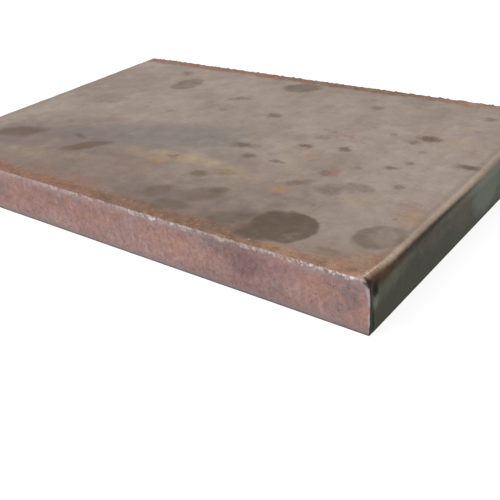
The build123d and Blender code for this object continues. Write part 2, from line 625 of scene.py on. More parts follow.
def makeScaleGroup():
    # colour of the scale at any place on the plate, with all its stains and the rust by the cut edges
    look = scaleLook
    tree, takes, gives = startGroup(
        "millScaleSurface",
        {"Place": "Vector"},
        {"Colour": "Color", "Height": "Float", "Dullness": "Float"},
    )
    place = takes["Place"]
    x, y, z = splitPlace(tree, place)
    uneven = wander(tree, place, *look["outlineSwells"])
    frayed = wander(tree, uneven, look["fraying"])

    # ground tone: areas of their own hue and areas of painted shade, then clouds and mottling
    broad = noise(tree, place, 30.0, detail=3.0)
    colour = mixColours(tree, ease(tree, broad, 0.36, 0.66), look["warm"], look["tan"])
    areaHues = {
        "paleAreas": "pale", "brownAreas": "brown", "blueAreas": "blue",
        "paintedShadeAreas": "paintedShade", "oliveBands": "olive", "yellowGlints": "yellow",
    }
    for areas, hue in areaHues.items():
        area = blotches(tree, uneven, look[areas], place, 8.0)
        colour = mixColours(tree, area, colour, look[hue])
    cloud = noise(tree, uneven, 9.0, detail=5.0, roughness=0.6)
    colour = brighten(tree, colour, cloud, look["cloudContrast"])
    tint = noise(tree, elsewhere(tree, uneven, (40.0, 70.0, 10.0)), 6.0, detail=3.0)
    tintShare = times(tree, ease(tree, tint, 0.5, 0.75), look["tintCover"])
    colour = mixColours(tree, tintShare, colour, look["redRust"])

    # stains and flecks, blotchy inside
    paleMask = blotches(tree, uneven, look["paleStains"], place, 5.0)
    darkMask = blotches(tree, uneven, look["darkStains"], place, 6.0, amount=0.7)
    fleckMask = blotches(tree, frayed, look["flecks"], place, 2.6)
    for size, share, strength in look["straySpecks"]:
        specks = placeGroup(tree, scatteredSpecks, Place=frayed, Size=size, Share=share)["Mask"]
        fleckMask = calc(tree, "MAXIMUM", fleckMask, times(tree, specks, strength))
    colour = mixColours(tree, paleMask, colour, look["paleStain"])
    colour = mixColours(tree, darkMask, colour, look["stain"])
    hearts = blotches(tree, uneven, look["stainHearts"], place, 4.0)
    colour = mixColours(tree, hearts, colour, look["heart"])
    oliveMask = blotches(tree, frayed, look["oliveFlecks"], place, 2.6)
    colour = mixColours(tree, oliveMask, colour, look["oliveFleck"])

    # red, ochre and umber marks where they are, then the dark flecks
    markHues = {"redMarks": "redRust", "orangeMarks": "orangeRust", "umberMarks": "umber"}
    marks = {kind: blotches(tree, frayed, look[kind], place, 2.8) for kind in markHues}
    for kind, hue in markHues.items():
        colour = mixColours(tree, marks[kind], colour, look[hue])
    colour = mixColours(tree, fleckMask, colour, look["fleck"])
    mottle = noise(tree, place, 2.4, detail=3.0, roughness=0.65)
    colour = brighten(tree, colour, mottle, look["mottleContrast"])

    # red and olive streaks, drawn out along the cut edge, by the near corner
    drawnOut = vectorCalc(tree, "MULTIPLY", uneven, (0.6, 1.0, 1.0))
    strands = noise(tree, drawnOut, 1.5, detail=3.0, roughness=0.6)
    strandShare = ease(tree, strands, 0.42, 0.58)
    strandColour = mixColours(tree, strandShare, look["streakRed"], look["streakOlive"])
    streak = blotches(tree, uneven, look["streakPatches"], place, 2.4)
    colour = mixColours(tree, times(tree, streak, look["streakCover"]), colour, strandColour)

    # rust that creeps in from each cut edge: brown ground, red stretches, orange tufts;
    # it is warmer by the near corner and towards the far end
    fromCut = edgeDistance(tree, y, halfWidth)
    ragged = plus(tree, fromCut, swing(tree, uneven, 3.0, 4.0, detail=4.0))
    reach = times(tree, spread(tree, noise(tree, place, 32.0), 0.6, 1.4), look["bandWidth"])
    reach = times(tree, reach, linear(tree, ease(tree, x, *look["bandNarrows"]), -0.25, 1.25))
    band = opposite(tree, ease(tree, ragged, times(tree, reach, 0.3), times(tree, reach, 1.4)))
    band = times(tree, band, linear(tree, darkMask, -0.6, 1.0))
    farShare = opposite(tree, ease(tree, x, *look["bandLeavesFar"]))
    warmth = ease(tree, x, *look["bandWarms"])
    deep = mixColours(tree, warmth, look["bandDeep"], look["bandWarmDeep"])
    deep = mixColours(tree, farShare, deep, look["bandFarDeep"])
    middle = mixColours(tree, warmth, look["bandRed"], look["bandWarm"])
    middle = mixColours(tree, farShare, middle, look["bandFar"])
    rusty = placeGroup(
        tree, rustBloom, Colour=colour, Place=frayed, Where=band, Size=2.6,
        Deep=deep, Middle=middle, Bright=toLinear(*look["bandBright"]))
    colour = rusty["Colour"]

    # pale line beside each mill edge, worn scale with a painted highlight where the round starts, and a
    # faint painted brown shadow on its inner side
    fromMill = edgeDistance(tree, x, halfLength)
    fromMill = plus(tree, fromMill, swing(tree, place, 4.0, 1.4, detail=4.0))
    width = look["wornHighlightWidth"]
    paleLine = opposite(tree, ease(tree, fromMill, width - 0.9, width + 0.2))
    colour = mixColours(tree, times(tree, paleLine, look["wornHighlightCover"]), colour, look["wornHighlightLine"])
    shadowStarts = ease(tree, fromMill, width - 1.1, width + 0.5)
    shadowEnds = ease(tree, fromMill, width + 0.9, width + 3.6)
    shadow = times(tree, minus(tree, shadowStarts, shadowEnds), look["wornShadow"])
    colour = mixColours(tree, shadow, colour, look["bandDeep"])
    grit = spread(tree, noise(tree, place, 1.1, detail=3.0, roughness=0.7), -0.7, 2.7)
    # where the line is rubbed bare it is painted brightest, partly as a highlight
    rubbed = layPatches(tree, wander(tree, place, look["rubbedHighlightSwell"]), look["bareHighlightPatches"])
    colour = mixColours(tree, times(tree, rubbed, grit, clamp=True), colour, look["rubbedBareHighlight"])

    grain = placeGrain(tree, colour, place, look)
    feed(tree, gives["Colour"], grain["Colour"])
    height = plus(tree, times(tree, grain["Height"], look["grainHeight"]), cloud)
    height = plus(tree, height, times(tree, rusty["Height"], look["rustHeight"]))
    feed(tree, gives["Height"], height)
    rusted = calc(tree, "MAXIMUM", marks["redMarks"], marks["orangeMarks"])
    stained = calc(tree, "MAXIMUM", darkMask, rusted)
    feed(tree, gives["Dullness"], calc(tree, "MAXIMUM", stained, rusty["Mask"]))
    return tree


def makeScaleFinish():
    # the underside shows the patches turned half round, so that it isn't the top's copy
    look = scaleLook
    material, tree, place = startMaterial("millScale")
    halfTurn = vectorCalc(
        tree, "MULTIPLY_ADD", place, (-1.0, -1.0, 1.0), (-2 * halfLength, 2 * halfWidth, 0.0))
    under = addNode(tree, "ShaderNodeMix", data_type="VECTOR")
    isUnder = calc(tree, "LESS_THAN", splitPlace(tree, place)["Z"], thickness / 2)
    feed(tree, under.inputs["Factor"], isUnder)
    feed(tree, under.inputs["A"], place)
    feed(tree, under.inputs["B"], halfTurn)
    place = under.outputs["Result"]
    scale = placeGroup(tree, millScaleSurface, Place=place)
    sheen = spread(tree, noise(tree, place, 14.0, detail=3.0), *look["roughness"])
    roughness = linear(tree, scale["Dullness"], look["dullness"], sheen)
    metallic = times(tree, opposite(tree, scale["Dullness"], clamp=True), look["metallic"])
    finishMaterial(tree, scale["Colour"], roughness, metallic, scale["Height"], relief=0.1, shine=0.3)
    return material


millScaleSurface = makeScaleGroup()


# Flame-cut ends: pink-brown and grainy, with a line of melted beads along the top.
# Patches here are placed by x from the near corner and z from the underside.

cutLook = {
    "pink": (176, 141, 138),
    "brown": (160, 127, 118),
    "orange": (186, 142, 126),
    "purple": (150, 118, 121),
    "grey": (142, 130, 128),
    "shadow": (128, 106, 104),
    "palePink": (184, 156, 152),
    "orangeSpeck": (206, 152, 120),
    "darkSpeck": (112, 86, 84),
    "beadBase": (184, 165, 160),
    # painted highlight on the drops of the beads
    "beadHighlight": (244, 234, 231),
    "beadDark": (134, 117, 117),
    # painted shade under the drops, bluish on some stretches
    "beadShadeLow": (170, 150, 148),       # of its lower part
    "beadBluishShade": (126, 115, 119),    # of its lower part where it is bluish
    # painted contact shade along the foot
    "foot": (96, 86, 88),
    "nearFoot": (150, 137, 138),
    # the fin's bright line: bare metal with a painted highlight
    "fin": (196, 190, 194),
    # painted shade in the notch and the scoop by the near corner
    "recessShade": (58, 50, 46),
    "beadSpan": (0.9, 4.9),           # path from the top of the melted arris down to the face
    "beadsRise": (-75.0, -45.0),      # x over which they start higher, towards the near corner
    # the foot's dark band is painted contact shade
    "footShadeSpan": (0.3, 1.4),          # heights over which the foot's dark break ends
    "footGlow": (1.5, 4.5),           # and those over which the paler strip above it ends
    "outlineSwells": ((2.2, 7.0), (0.8, 1.8)),
    "dropSwell": (0.5, 1.2),
    "finSwell": (0.3, 1.2),
    # how strongly each layer shows
    "tintCover": 0.28,
    "mottleContrast": 0.55,
    "dragContrast": 0.12,
    "speckSize": 2.1,
    "orangeSpecks": (0.26, 0.22),     # share of the cells with one, strength
    "darkSpecks": (0.34, 0.45),
    "beadCover": 0.85,
    "beadShadeCover": 0.8,
    "nearFootCover": 0.65,
    "footShadeCover": 0.8,
    "grainSize": 0.6,
    "grainContrast": 0.7,
    "roughness": (0.62, 0.86),
    "beadPolish": 0.25,               # what the beads take off the roughness
    "metallic": 0.3,                  # of the drops and the fin
    "greyPatches": [
        (-74, 20.2, 13, 2.6, -4, 0.6, 0.9),
        (-80, 17.5, 7, 3.6, 0, 0.7, 0.45),
        (-8.6, 16.2, 4.4, 5.4, 15, 0.5, 1.0),
        (-15, 8, 5, 4, 40, 0.7, 0.8),
        (-2.4, 18, 1.4, 4, 0, 0.7, 0.5),
        (-47, 7, 8, 4, 20, 0.7, 0.6),
        (-232, 15, 14, 5, 0, 0.9, 0.5),
    ],
    "purplePatches": [
        (-46, 18, 9, 5, 0, 0.8, 0.7),
        (-45, 4, 6, 3, 0, 0.8, 0.6),
        (-17, 20, 5, 2.6, 0, 0.8, 0.6),
        (-60, 11, 11, 9, 20, 0.9, 0.7),
        (-84, 3.5, 9, 3, 0, 0.8, 0.8),
        (-165, 20, 5, 3, 0, 0.8, 0.6),
        (-252, 12, 30, 9, 0, 0.9, 0.6),
    ],
    "shadowPatches": [
        (-60, 15.5, 9, 6, 0, 0.8, 1.0),
        (-67, 18.5, 10, 3.4, 0, 0.8, 0.7),
        (-58, 3, 9, 3, 0, 0.9, 0.5),
        (-164, 3, 4, 3, 0, 0.8, 0.4),
        (-7.6, 14.4, 3.4, 4, 0, 0.8, 0.5),
        (-72, 18.5, 6, 4, 0, 0.8, 0.6),
        (-34, 17.5, 5, 2.6, 0, 0.8, 0.3),
    ],
    "orangePatches": [
        (-136, 21.4, 4, 2.2, 0, 0.6, 0.9),
        (-3, 10, 2.4, 5, 0, 0.7, 0.9),
        (-1.1, 12.4, 0.9, 1.8, 0, 0.5, 1.0),
        (-40.5, 21.6, 3.4, 2.2, 0, 0.7, 0.9),
        (-24, 15, 10, 6, 0, 0.9, 0.7),
        (-100, 13, 22, 7, 0, 0.9, 0.6),
        (-156, 14, 18, 6, 0, 0.9, 0.4),
        (-215, 16, 16, 6, 0, 0.9, 0.4),
    ],
    "palePatches": [
        (-112, 7, 42, 8, 0, 0.7, 0.6),
        (-178, 5, 20, 5, 0, 0.8, 0.6),
        (-28, 7, 9, 4, 0, 0.8, 0.5),
        (-34, 9, 5, 3, 0, 0.8, 0.7),
        (-22, 4, 7, 3.4, 0, 0.8, 0.6),
        (-240, 4, 26, 4, 0, 0.8, 0.5),
        (-86, 12.5, 6, 4, 0, 0.8, 1.0),
        (-31, 12, 6, 4, 0, 0.8, 0.8),
        (-128, 17, 6, 4, 0, 0.8, 0.6),
        (-100, 4, 6, 4, 0, 0.8, 0.8),
        (-143, 8, 7, 4, 0, 0.8, 0.6),
        (-112, 21.2, 2.2, 1.7, 0, 0.6, 1.0),
        (-138.4, 21, 2.4, 1.7, 0, 0.6, 1.0),
        (-177, 21.2, 2.6, 1.8, 0, 0.6, 0.8),
    ],
    "sparkleStretches": [
        (-15, 10, 0.4, 1.0),
        (-30, 6, 0.6, 0.9),
        (-52, 7, 0.6, 0.1),
        (-70, 2.4, 0.5, 0.5),
        (-92, 7, 0.7, 0.4),
        (-112, 7, 0.6, 0.85),
        (-124, 5, 0.6, 0.6),
        (-160, 7, 0.7, 0.4),
        (-246, 14, 0.8, 0.4),
    ],
    # stretches where the painted shade under the beads is bluish
    "bluishShadeStretches": [
        (-66, 25, 0.3, 1.0),
        (-11, 10, 0.6, 0.7),
    ],
    "bareStretches": [
        (-41, 3.4, 0.6, 0.6),
        (-58, 22, 0.5, 0.45),
        (-215, 40, 0.3, 0.4),
        (-148, 9, 0.6, 0.55),
        (-76, 4, 0.7, 0.3),
    ],
    # single drops given a painted highlight
    "dropHighlightPatches": [
        (-7.8, 24.2, 1.2, 0.7, 0, 0.5, 0.9),
        (-11.4, 24.2, 0.7, 0.5, 30, 0.5, 0.7),
        (-15.4, 23.6, 0.6, 0.7, 0, 0.5, 0.5),
        (-22, 24.2, 0.6, 0.9, 20, 0.5, 0.6),
        (-25.8, 24.3, 1.2, 0.5, 24, 0.5, 0.7),
        (-36.2, 23.3, 0.8, 0.5, 0, 0.5, 0.4),
        (-45.6, 24.3, 0.9, 0.4, 0, 0.5, 0.4),
        (-60, 23.2, 0.9, 0.5, 20, 0.5, 0.4),
        (-70, 23.2, 1.2, 0.7, 40, 0.5, 0.6),
        (-92, 22.6, 1.3, 0.8, 0, 0.6, 0.5),
        (-99, 23.7, 1.4, 0.7, 0, 0.6, 0.5),
        (-111.8, 23.2, 1.4, 0.9, 0, 0.5, 0.8),
        (-123.4, 22.8, 1.2, 0.8, 0, 0.5, 0.5),
        (-128.6, 23.8, 1.6, 0.7, 0, 0.6, 0.25),
        (-152, 23.4, 1.6, 0.7, 0, 0.6, 0.5),
    ],
    "finGaps": [
        (-0.8, 12.2, 2.2, 1.9, 0, 0.6, 0.85),
        (-0.8, 3, 2.2, 0.9, 0, 0.6, 0.5),
    ],
    # where the fin's painted highlight is laid on
    "finHighlightPatches": [
        (-1.0, 19.4, 0.7, 3.2, 14, 0.6, 0.8),
        (-0.5, 5, 0.5, 5, 0, 0.6, 0.5),
    ],
    # painted shade in the notch at the near upper corner
    "notchShadePatches": [
        (-0.4, 22.9, 2.4, 1.2, -25, 0.4, 1.0),
        (-0.3, 24.2, 1.4, 0.8, 20, 0.5, 0.7),
    ],
}


def makeCutFinish():
    look = cutLook
    material, tree, place = startMaterial("flameCutEnd")
    x, y, z = splitPlace(tree, place)
    uneven = wander(tree, place, *look["outlineSwells"])
    onFace = facePlace(tree, uneven, "X")

    # ground: pink and brown, with patches of other hues and patches of painted shadow
    broad = noise(tree, place, 11.0, detail=4.0, roughness=0.6)
    colour = mixColours(tree, ease(tree, broad, 0.36, 0.64), look["pink"], look["brown"])
    patchHues = {
        "palePatches": "palePink", "orangePatches": "orange", "purplePatches": "purple",
        "greyPatches": "grey", "shadowPatches": "shadow",
    }
    for patches, hue in patchHues.items():
        patch = blotches(tree, onFace, look[patches], place, 4.0)
        colour = mixColours(tree, patch, colour, look[hue])

    tintPlace = elsewhere(tree, uneven, (50.0, 20.0, 30.0))
    tint = noise(tree, tintPlace, 3.2, detail=4.0, roughness=0.65)
    tintColour = mixColours(tree, ease(tree, tint, 0.4, 0.6), look["purple"], look["orange"])
    colour = mixColours(tree, look["tintCover"], colour, tintColour)

    # grains, orange and dark specks, faint drag lines down the cut
    mottle = noise(tree, uneven, 2.6, detail=4.0, roughness=0.7)
    colour = brighten(tree, colour, mottle, look["mottleContrast"])
    dragPlace = vectorCalc(tree, "MULTIPLY", uneven, (1.0, 1.0, 0.22))
    drag = noise(tree, dragPlace, 1.5, detail=2.0)
    colour = brighten(tree, colour, drag, look["dragContrast"])
    darkPlace = elsewhere(tree, uneven, (31.0, 17.0, 5.0))
    for kind, spot in (("orangeSpeck", uneven), ("darkSpeck", darkPlace)):
        share, strength = look[kind + "s"]
        specks = placeGroup(tree, scatteredSpecks, Place=spot, Size=look["speckSize"], Share=share)["Mask"]
        colour = mixColours(tree, times(tree, specks, strength), colour, look[kind])

    # beads on the melted arris, which fade unevenly down the face: grey, with paler drops where
    # the surface or its fine noise rises, given a painted highlight, the brightest on some stretches, and
    # painted shade under them
    path = attribute(tree, "lipPath")
    rise = attribute(tree, "beadRise")
    wavy = plus(tree, path, swing(tree, place, 1.7, 0.9))
    low = plus(tree, wavy, swing(tree, place, 5.0, 3.0))
    start, end = look["beadSpan"]
    start = linear(tree, ease(tree, x, *look["beadsRise"]), -0.25, start + 0.35)
    under = opposite(tree, ease(tree, low, end - 2.4, end + 1.2))
    bead = times(tree, ease(tree, minus(tree, wavy, start), -0.3, 0.3), under)
    drawnDown = vectorCalc(tree, "MULTIPLY", uneven, (1.0, 1.0, 0.7))
    lump = plus(tree, times(tree, rise, 0.22), noise(tree, drawnDown, 1.15, detail=2.0, roughness=0.6))
    beadColour = mixColours(tree, ease(tree, lump, 0.4, 0.6), look["beadDark"], look["beadBase"])
    stretches = layStretches(tree, onFace, look["sparkleStretches"])
    drops = ease(tree, linear(tree, stretches, 0.05, lump), 0.58, 0.74)
    sparkle = times(tree, drops, linear(tree, stretches, 0.9, 0.12))
    beadColour = mixColours(tree, sparkle, beadColour, look["beadHighlight"])
    # painted shade under the drops, bluish on some stretches
    bluish = layStretches(tree, onFace, look["bluishShadeStretches"])
    beadShadeColour = mixColours(tree, bluish, look["beadShadeLow"], look["beadBluishShade"])
    lower = ease(tree, minus(tree, wavy, times(tree, drops, 0.8)), 1.5, 3.0)
    beadColour = mixColours(tree, times(tree, lower, look["beadShadeCover"]), beadColour, beadShadeColour)
    dropPlace = facePlace(tree, wander(tree, place, look["dropSwell"]), "X")
    # painted highlights on single drops
    bright = layPatches(tree, dropPlace, look["dropHighlightPatches"])
    beadColour = mixColours(tree, bright, beadColour, look["beadHighlight"])
    bare = opposite(tree, layStretches(tree, onFace, look["bareStretches"]))
    beadShare = times(tree, bead, bare)
    colour = mixColours(tree, times(tree, beadShare, look["beadCover"]), colour, beadColour)

    # above the beads the scale's rust runs over the round
    scale = placeGroup(tree, millScaleSurface, Place=place)
    over = opposite(tree, ease(tree, minus(tree, wavy, start), -0.4, 0.2))
    above = mixColours(tree, 0.1, scale["Colour"], look["beadBase"])
    colour = mixColours(tree, over, colour, above)

    # painted shade in the notch at the near upper corner, a thin broken fin down from there, bare metal
    # with a painted highlight, and painted contact shade along the foot
    close = facePlace(tree, wander(tree, place, look["finSwell"]), "X")
    colour = mixColours(tree, layPatches(tree, close, look["notchShadePatches"]), colour, look["recessShade"])
    fin = attribute(tree, "finEdge")
    broken = placeGroup(tree, finBreaks, Place=place)["Mask"]
    broken = times(tree, broken, opposite(tree, layPatches(tree, close, look["finGaps"])))
    finHighlightMarks = layPatches(tree, close, look["finHighlightPatches"])
    finShare = calc(tree, "MAXIMUM", ease(tree, fin, 0.5, 0.85), finHighlightMarks)
    finHighlightLine = times(tree, finShare, broken, clamp=True)
    colour = mixColours(tree, finHighlightLine, colour, look["fin"])
    footWave = plus(tree, z, swing(tree, place, 2.0, 1.0))
    # painted contact shade along the foot
    foot = opposite(tree, ease(tree, footWave, *look["footShadeSpan"]))
    nearFoot = opposite(tree, ease(tree, footWave, *look["footGlow"]))
    colour = mixColours(tree, times(tree, nearFoot, look["nearFootCover"]), colour, look["nearFoot"])
    colour = mixColours(tree, times(tree, foot, look["footShadeCover"]), colour, look["foot"])

    grain = placeGrain(tree, colour, place, look)
    bareMetal = calc(tree, "MAXIMUM", times(tree, sparkle, bead), finHighlightLine)
    metallic = times(tree, bareMetal, look["metallic"])
    polish = times(tree, bead, look["beadPolish"])
    roughness = minus(tree, spread(tree, mottle, *look["roughness"]), polish)
    finishMaterial(tree, grain["Colour"], roughness, metallic, grain["Height"], relief=0.35, shine=0.2)
    return material


# Mill edges: dark grey-green scale. The faces' colour runs over the top of the round,
# a brown band lies under it, redder towards the near corner.
# Patches here are placed by y from the near corner and z from the underside.

millLook = {
    "green": (79, 79, 63),
    "deepGreen": (65, 65, 50),
    "paleGreen": (94, 95, 80),
    # painted shade: the lower half of a mill edge darker towards the floor
    "lowShadeGreen": (57, 59, 46),         # of the lower half
    "teal": (111, 118, 104),
    "warmGrey": (92, 84, 71),
    "brownBand": (53, 42, 22),
    "redBrown": (64, 44, 20),
    "orangeStreak": (100, 70, 42),
    "rustyRound": (82, 56, 34),
    # the next four: painted contact shade along the foot, painted shade in the scoop and down its groove,
    # and a painted highlight along the rims
    "foot": (46, 48, 44),
    "recessShade": (32, 19, 14),
    "grooveShade": (28, 32, 31),
    "rim": (128, 128, 118),
    "bandReddens": (8.0, 34.0),       # y over which the brown band leaves its redder tone
    "bandThins": (50.0, 80.0),        # y over which it grows thinner
    "bandFades": (70.0, 108.0),       # y over which it grows fainter
    # y over which the faces' scale comes to reach lower, and by how much of the round
    "scaleReaches": (((50.0, 115.0), 0.3), ((95.0, 120.0), 0.25)),
    "lightMiddle": ((9.0, 15.0), (17.0, 23.0)),       # heights between which the green is lighter
    # the lower half's painted shade ends over these heights
    "lowShadeHalf": (8.5, 14.5),           # heights over which the lower half ends
    "outlineSwells": ((1.6, 8.0), (0.5, 1.8)),
    "markSwell": (0.5, 1.6),          # of the marks that hardly wander
    # the foot's dark band is painted contact shade
    "footShadeSpan": (0.4, 2.2),          # heights over which the foot's dark break ends
    # how strongly each layer shows
    "lowShadeCover": 0.55,
    "mottleContrast": 0.3,
    "footShadeCover": 0.8,
    "grainSize": 0.9,
    "grainContrast": 0.5,
    "grainHeight": 0.6,
    "roughness": (0.5, 0.72),
    "metallic": 0.3,                  # of the fin
    "tealPatches": [
        (114, 15, 16, 12, 0, 0.35, 0.9),
        (142, 14, 18, 11, 0, 0.8, 0.7),
    ],
    "palePatches": [
        # the first is a painted highlight beside the scoop
        (4.4, 12.8, 2.0, 3.0, 0, 0.7, 0.9),
        (18, 16.8, 13, 3.2, 8, 0.8, 0.8),
    ],
    "warmPatches": [
        (86, 14, 9, 8, 0, 0.8, 0.7),
        (52, 18, 5, 3, 0, 0.8, 0.5),
    ],
    "deepPatches": [
        (36, 9, 12, 6, 0, 0.9, 0.8),
        (15, 7, 7, 5, 0, 0.8, 0.8),
        (68, 9, 9, 5, 0, 0.9, 0.6),
    ],
    # painted shade in the scoop behind the fin
    "scoopShadePatches": [
        (3.0, 20.2, 4.2, 2.5, -50, 0.4, 1.0),
        (4.6, 17.6, 1.8, 1.2, -45, 0.6, 0.7),
        (1.2, 22.4, 1.5, 2.6, 0, 0.5, 0.9),
    ],
    # painted shade down the scoop's groove
    "grooveShadePatches": [
        (1.4, 14, 0.9, 9, 0, 0.4, 1.0),
        (1.9, 5, 1.5, 7, 0, 0.5, 0.95),
    ],
    # painted highlights on the scoop's rim and along the face just under the round
    "rimHighlightPatches": [
        (4.4, 13.6, 1.5, 2.6, -20, 0.7, 0.75),
        (115, 20.9, 26, 2.2, 0, 0.8, 0.9),
        (74, 20.6, 14, 1.8, 0, 0.8, 0.25),
    ],
    "rustPatches": [
        (4, 23.7, 10, 1.3, 0, 0.8, 0.9),
    ],
    "streakPatches": [
        (22, 21.8, 4.5, 0.6, -10, 0.8, 0.4),
        (10, 23.6, 5, 0.9, -14, 0.8, 0.6),
        (20, 24.2, 5, 0.8, -4, 0.8, 0.5),
        (15, 20.2, 3, 0.5, -18, 0.8, 0.3),
    ],
}


def makeMillFinish():
    look = millLook
    material, tree, place = startMaterial("millEdge")
    x, y, z = splitPlace(tree, place)
    uneven = wander(tree, place, *look["outlineSwells"])
    onFace = facePlace(tree, uneven, "Y")
    close = facePlace(tree, wander(tree, place, look["markSwell"]), "Y")

    # ground: green-grey, darker in the lower half as painted shade, with patches of other hues
    broad = noise(tree, vectorCalc(tree, "MULTIPLY", place, (1.0, 0.8, 1.0)), 9.0, detail=4.0)
    colour = mixColours(tree, ease(tree, broad, 0.35, 0.62), look["green"], look["deepGreen"])
    middleStarts, middleEnds = look["lightMiddle"]
    middle = times(tree, ease(tree, z, *middleStarts), opposite(tree, ease(tree, z, *middleEnds)))
    mottle = noise(tree, uneven, 4.2, detail=4.0, roughness=0.65)
    lift = times(tree, ease(tree, mottle, 0.42, 0.7), linear(tree, middle, 0.5, 0.3))
    colour = mixColours(tree, lift, colour, look["paleGreen"])
    lowWave = plus(tree, z, swing(tree, place, 5.0, 4.0))
    # painted shade, darker towards the floor
    lowShadeShare = opposite(tree, ease(tree, lowWave, *look["lowShadeHalf"]))
    colour = mixColours(tree, times(tree, lowShadeShare, look["lowShadeCover"]), colour, look["lowShadeGreen"])
    patchHues = {
        "deepPatches": "deepGreen", "warmPatches": "warmGrey",
        "palePatches": "paleGreen", "tealPatches": "teal",
    }
    for patches, hue in patchHues.items():
        colour = mixColours(tree, layPatches(tree, onFace, look[patches]), colour, look[hue])
    colour = brighten(tree, colour, mottle, look["mottleContrast"])

    # brown band under the arris, then the faces' colour over its top
    depth = minus(tree, thickness, z)
    nearRight = opposite(tree, ease(tree, y, *look["bandReddens"]))
    bandEnd = linear(tree, nearRight, 1.4, linear(tree, ease(tree, y, *look["bandThins"]), -0.9, 3.7))
    belowBand = minus(tree, plus(tree, depth, swing(tree, place, 4.0, 2.4, detail=4.0)), bandEnd)
    farWeak = linear(tree, ease(tree, y, *look["bandFades"]), -0.85, 1.0)
    band = times(tree, opposite(tree, ease(tree, belowBand, -1.6, 2.0)), farWeak)
    bandColour = mixColours(tree, nearRight, look["brownBand"], look["redBrown"])
    colour = mixColours(tree, band, colour, bandColour)
    streak = layPatches(tree, close, look["streakPatches"])
    colour = mixColours(tree, streak, colour, look["orangeStreak"])
    turn = plus(tree, attribute(tree, "millTurn"), swing(tree, place, 2.6, 0.3, detail=3.0))
    for span, amount in look["scaleReaches"]:
        turn = minus(tree, turn, times(tree, ease(tree, y, *span), amount))
    scale = placeGroup(tree, millScaleSurface, Place=place)
    face = opposite(tree, ease(tree, turn, 0.3, 0.92))
    colour = mixColours(tree, face, colour, scale["Colour"])

    # painted highlights along the rims, rust on the round, painted shade in the scoop behind the fin and
    # down its groove, the fin's edge painted bright as bare metal with a highlight, painted contact shade
    # along the foot
    markHues = {
        "rimHighlightPatches": "rim", "rustPatches": "rustyRound",
        "scoopShadePatches": "recessShade", "grooveShadePatches": "grooveShade",
    }
    for patches, hue in markHues.items():
        colour = mixColours(tree, layPatches(tree, close, look[patches]), colour, look[hue])
    fin = attribute(tree, "finEdge")
    broken = placeGroup(tree, finBreaks, Place=place)["Mask"]
    finHighlightLine = times(tree, ease(tree, fin, 0.8, 1.0), broken, clamp=True)
    colour = mixColours(tree, finHighlightLine, colour, cutLook["fin"])
    footWave = plus(tree, z, swing(tree, place, 2.4, 1.4))
    # painted contact shade along the foot
    foot = opposite(tree, ease(tree, footWave, *look["footShadeSpan"]))
    colour = mixColours(tree, times(tree, foot, look["footShadeCover"]), colour, look["foot"])

    grain = placeGrain(tree, colour, place, look)
    roughness = spread(tree, mottle, *look["roughness"])
    metallic = times(tree, fin, look["metallic"])
    height = plus(tree, times(tree, grain["Height"], look["grainHeight"]), mottle)
    finishMaterial(tree, grain["Colour"], roughness, metallic, height, relief=0.2, shine=0.15)
    return material


# The plate's surface

plateForm = {
    # the solid's own edges, as the maker gave them
    "millCrown": 0.25,
    "millRadius": 2.2,
    "millFootRadius": 0.5,
    "lipRadius": 1.4,
    "footRadius": 0.35,
    "cornerRadius": 3.6,
    "cornerRun": 28.0,
    "groove": (2.2, 0.35),            # width and depth of the scoop up to its waist
    "scoopWaist": 13.0,
    "scoopTop": (8.0, 1.0),           # width and depth where it meets the top
    "scoopOverrun": 5.0,              # how far above the top its cone is measured
    "finThickness": 0.9,
    # what the solid leaves out
    "uprightRadius": 0.3,             # of the four upright arrises
    "scoopBlend": 0.06,               # square millimetres by which the scoop's edges are softened
    "scoopRaise": 0.01,               # millimetres that the blend would take off its floor
    "scoopMargin": 0.5,               # how far past its rim the blend still counts
    "rimFades": (0.9, 1.5),           # how fast the relief of cut ends and mill edges fades on a face
    "footFade": (0.1, 1.5),           # heights over which it comes in above the foot
    "cutFaceStarts": (1.2, 3.2),      # path down from the top over which the cut's grain comes in
    "beltStarts": (-0.7, 0.9),        # the same for the belt of melted beads
    "beltEnds": (2.8, 5.0),
    "beadHeight": 0.5,
    "beltSink": 0.08,                 # how far the melted arris lies in between its beads
    "arrisEnds": (0.9, 1.6),          # turn of the round, where a quarter is 1, over which its wear ends
    "arrisWear": 0.072,               # how far a mill edge's arris is worn back on average
    "finWear": 0.15,                  # and the fin
    "finMiddle": 0.4,                 # how far in from the mill edge the fin's own edge is
    "finReach": 0.85,
    "finStarts": (-0.5, 1.0),         # heights between which it stands
    "finEnds": (20.0, 22.5),
    "topSink": 0.05,                  # keeps the top's swells below its nominal height
    # how fine the surface is
    "endSteps": 496,
    "sideSteps": 236,
    "endGrading": 0.35,               # 0 for even steps, 1 for steps that shorten as a sine's do
    "sideGrading": 0.8,
    "faceRows": 25,
    "capRows": 12,
    "footRows": 5,
    "capDepth": 5.2,                  # the part of the side that is divided finely for the arrises
    "footDepth": 1.7,
    # how far in from the edge the rings of a face lie, and where its grid starts
    "rimInsets": (0.35, 0.8, 1.4, 2.2),
    "topInsets": (3.4, 5.0, 7.5),
    "undersideInsets": (2.2,),
    "gridInset": 12.0,
}

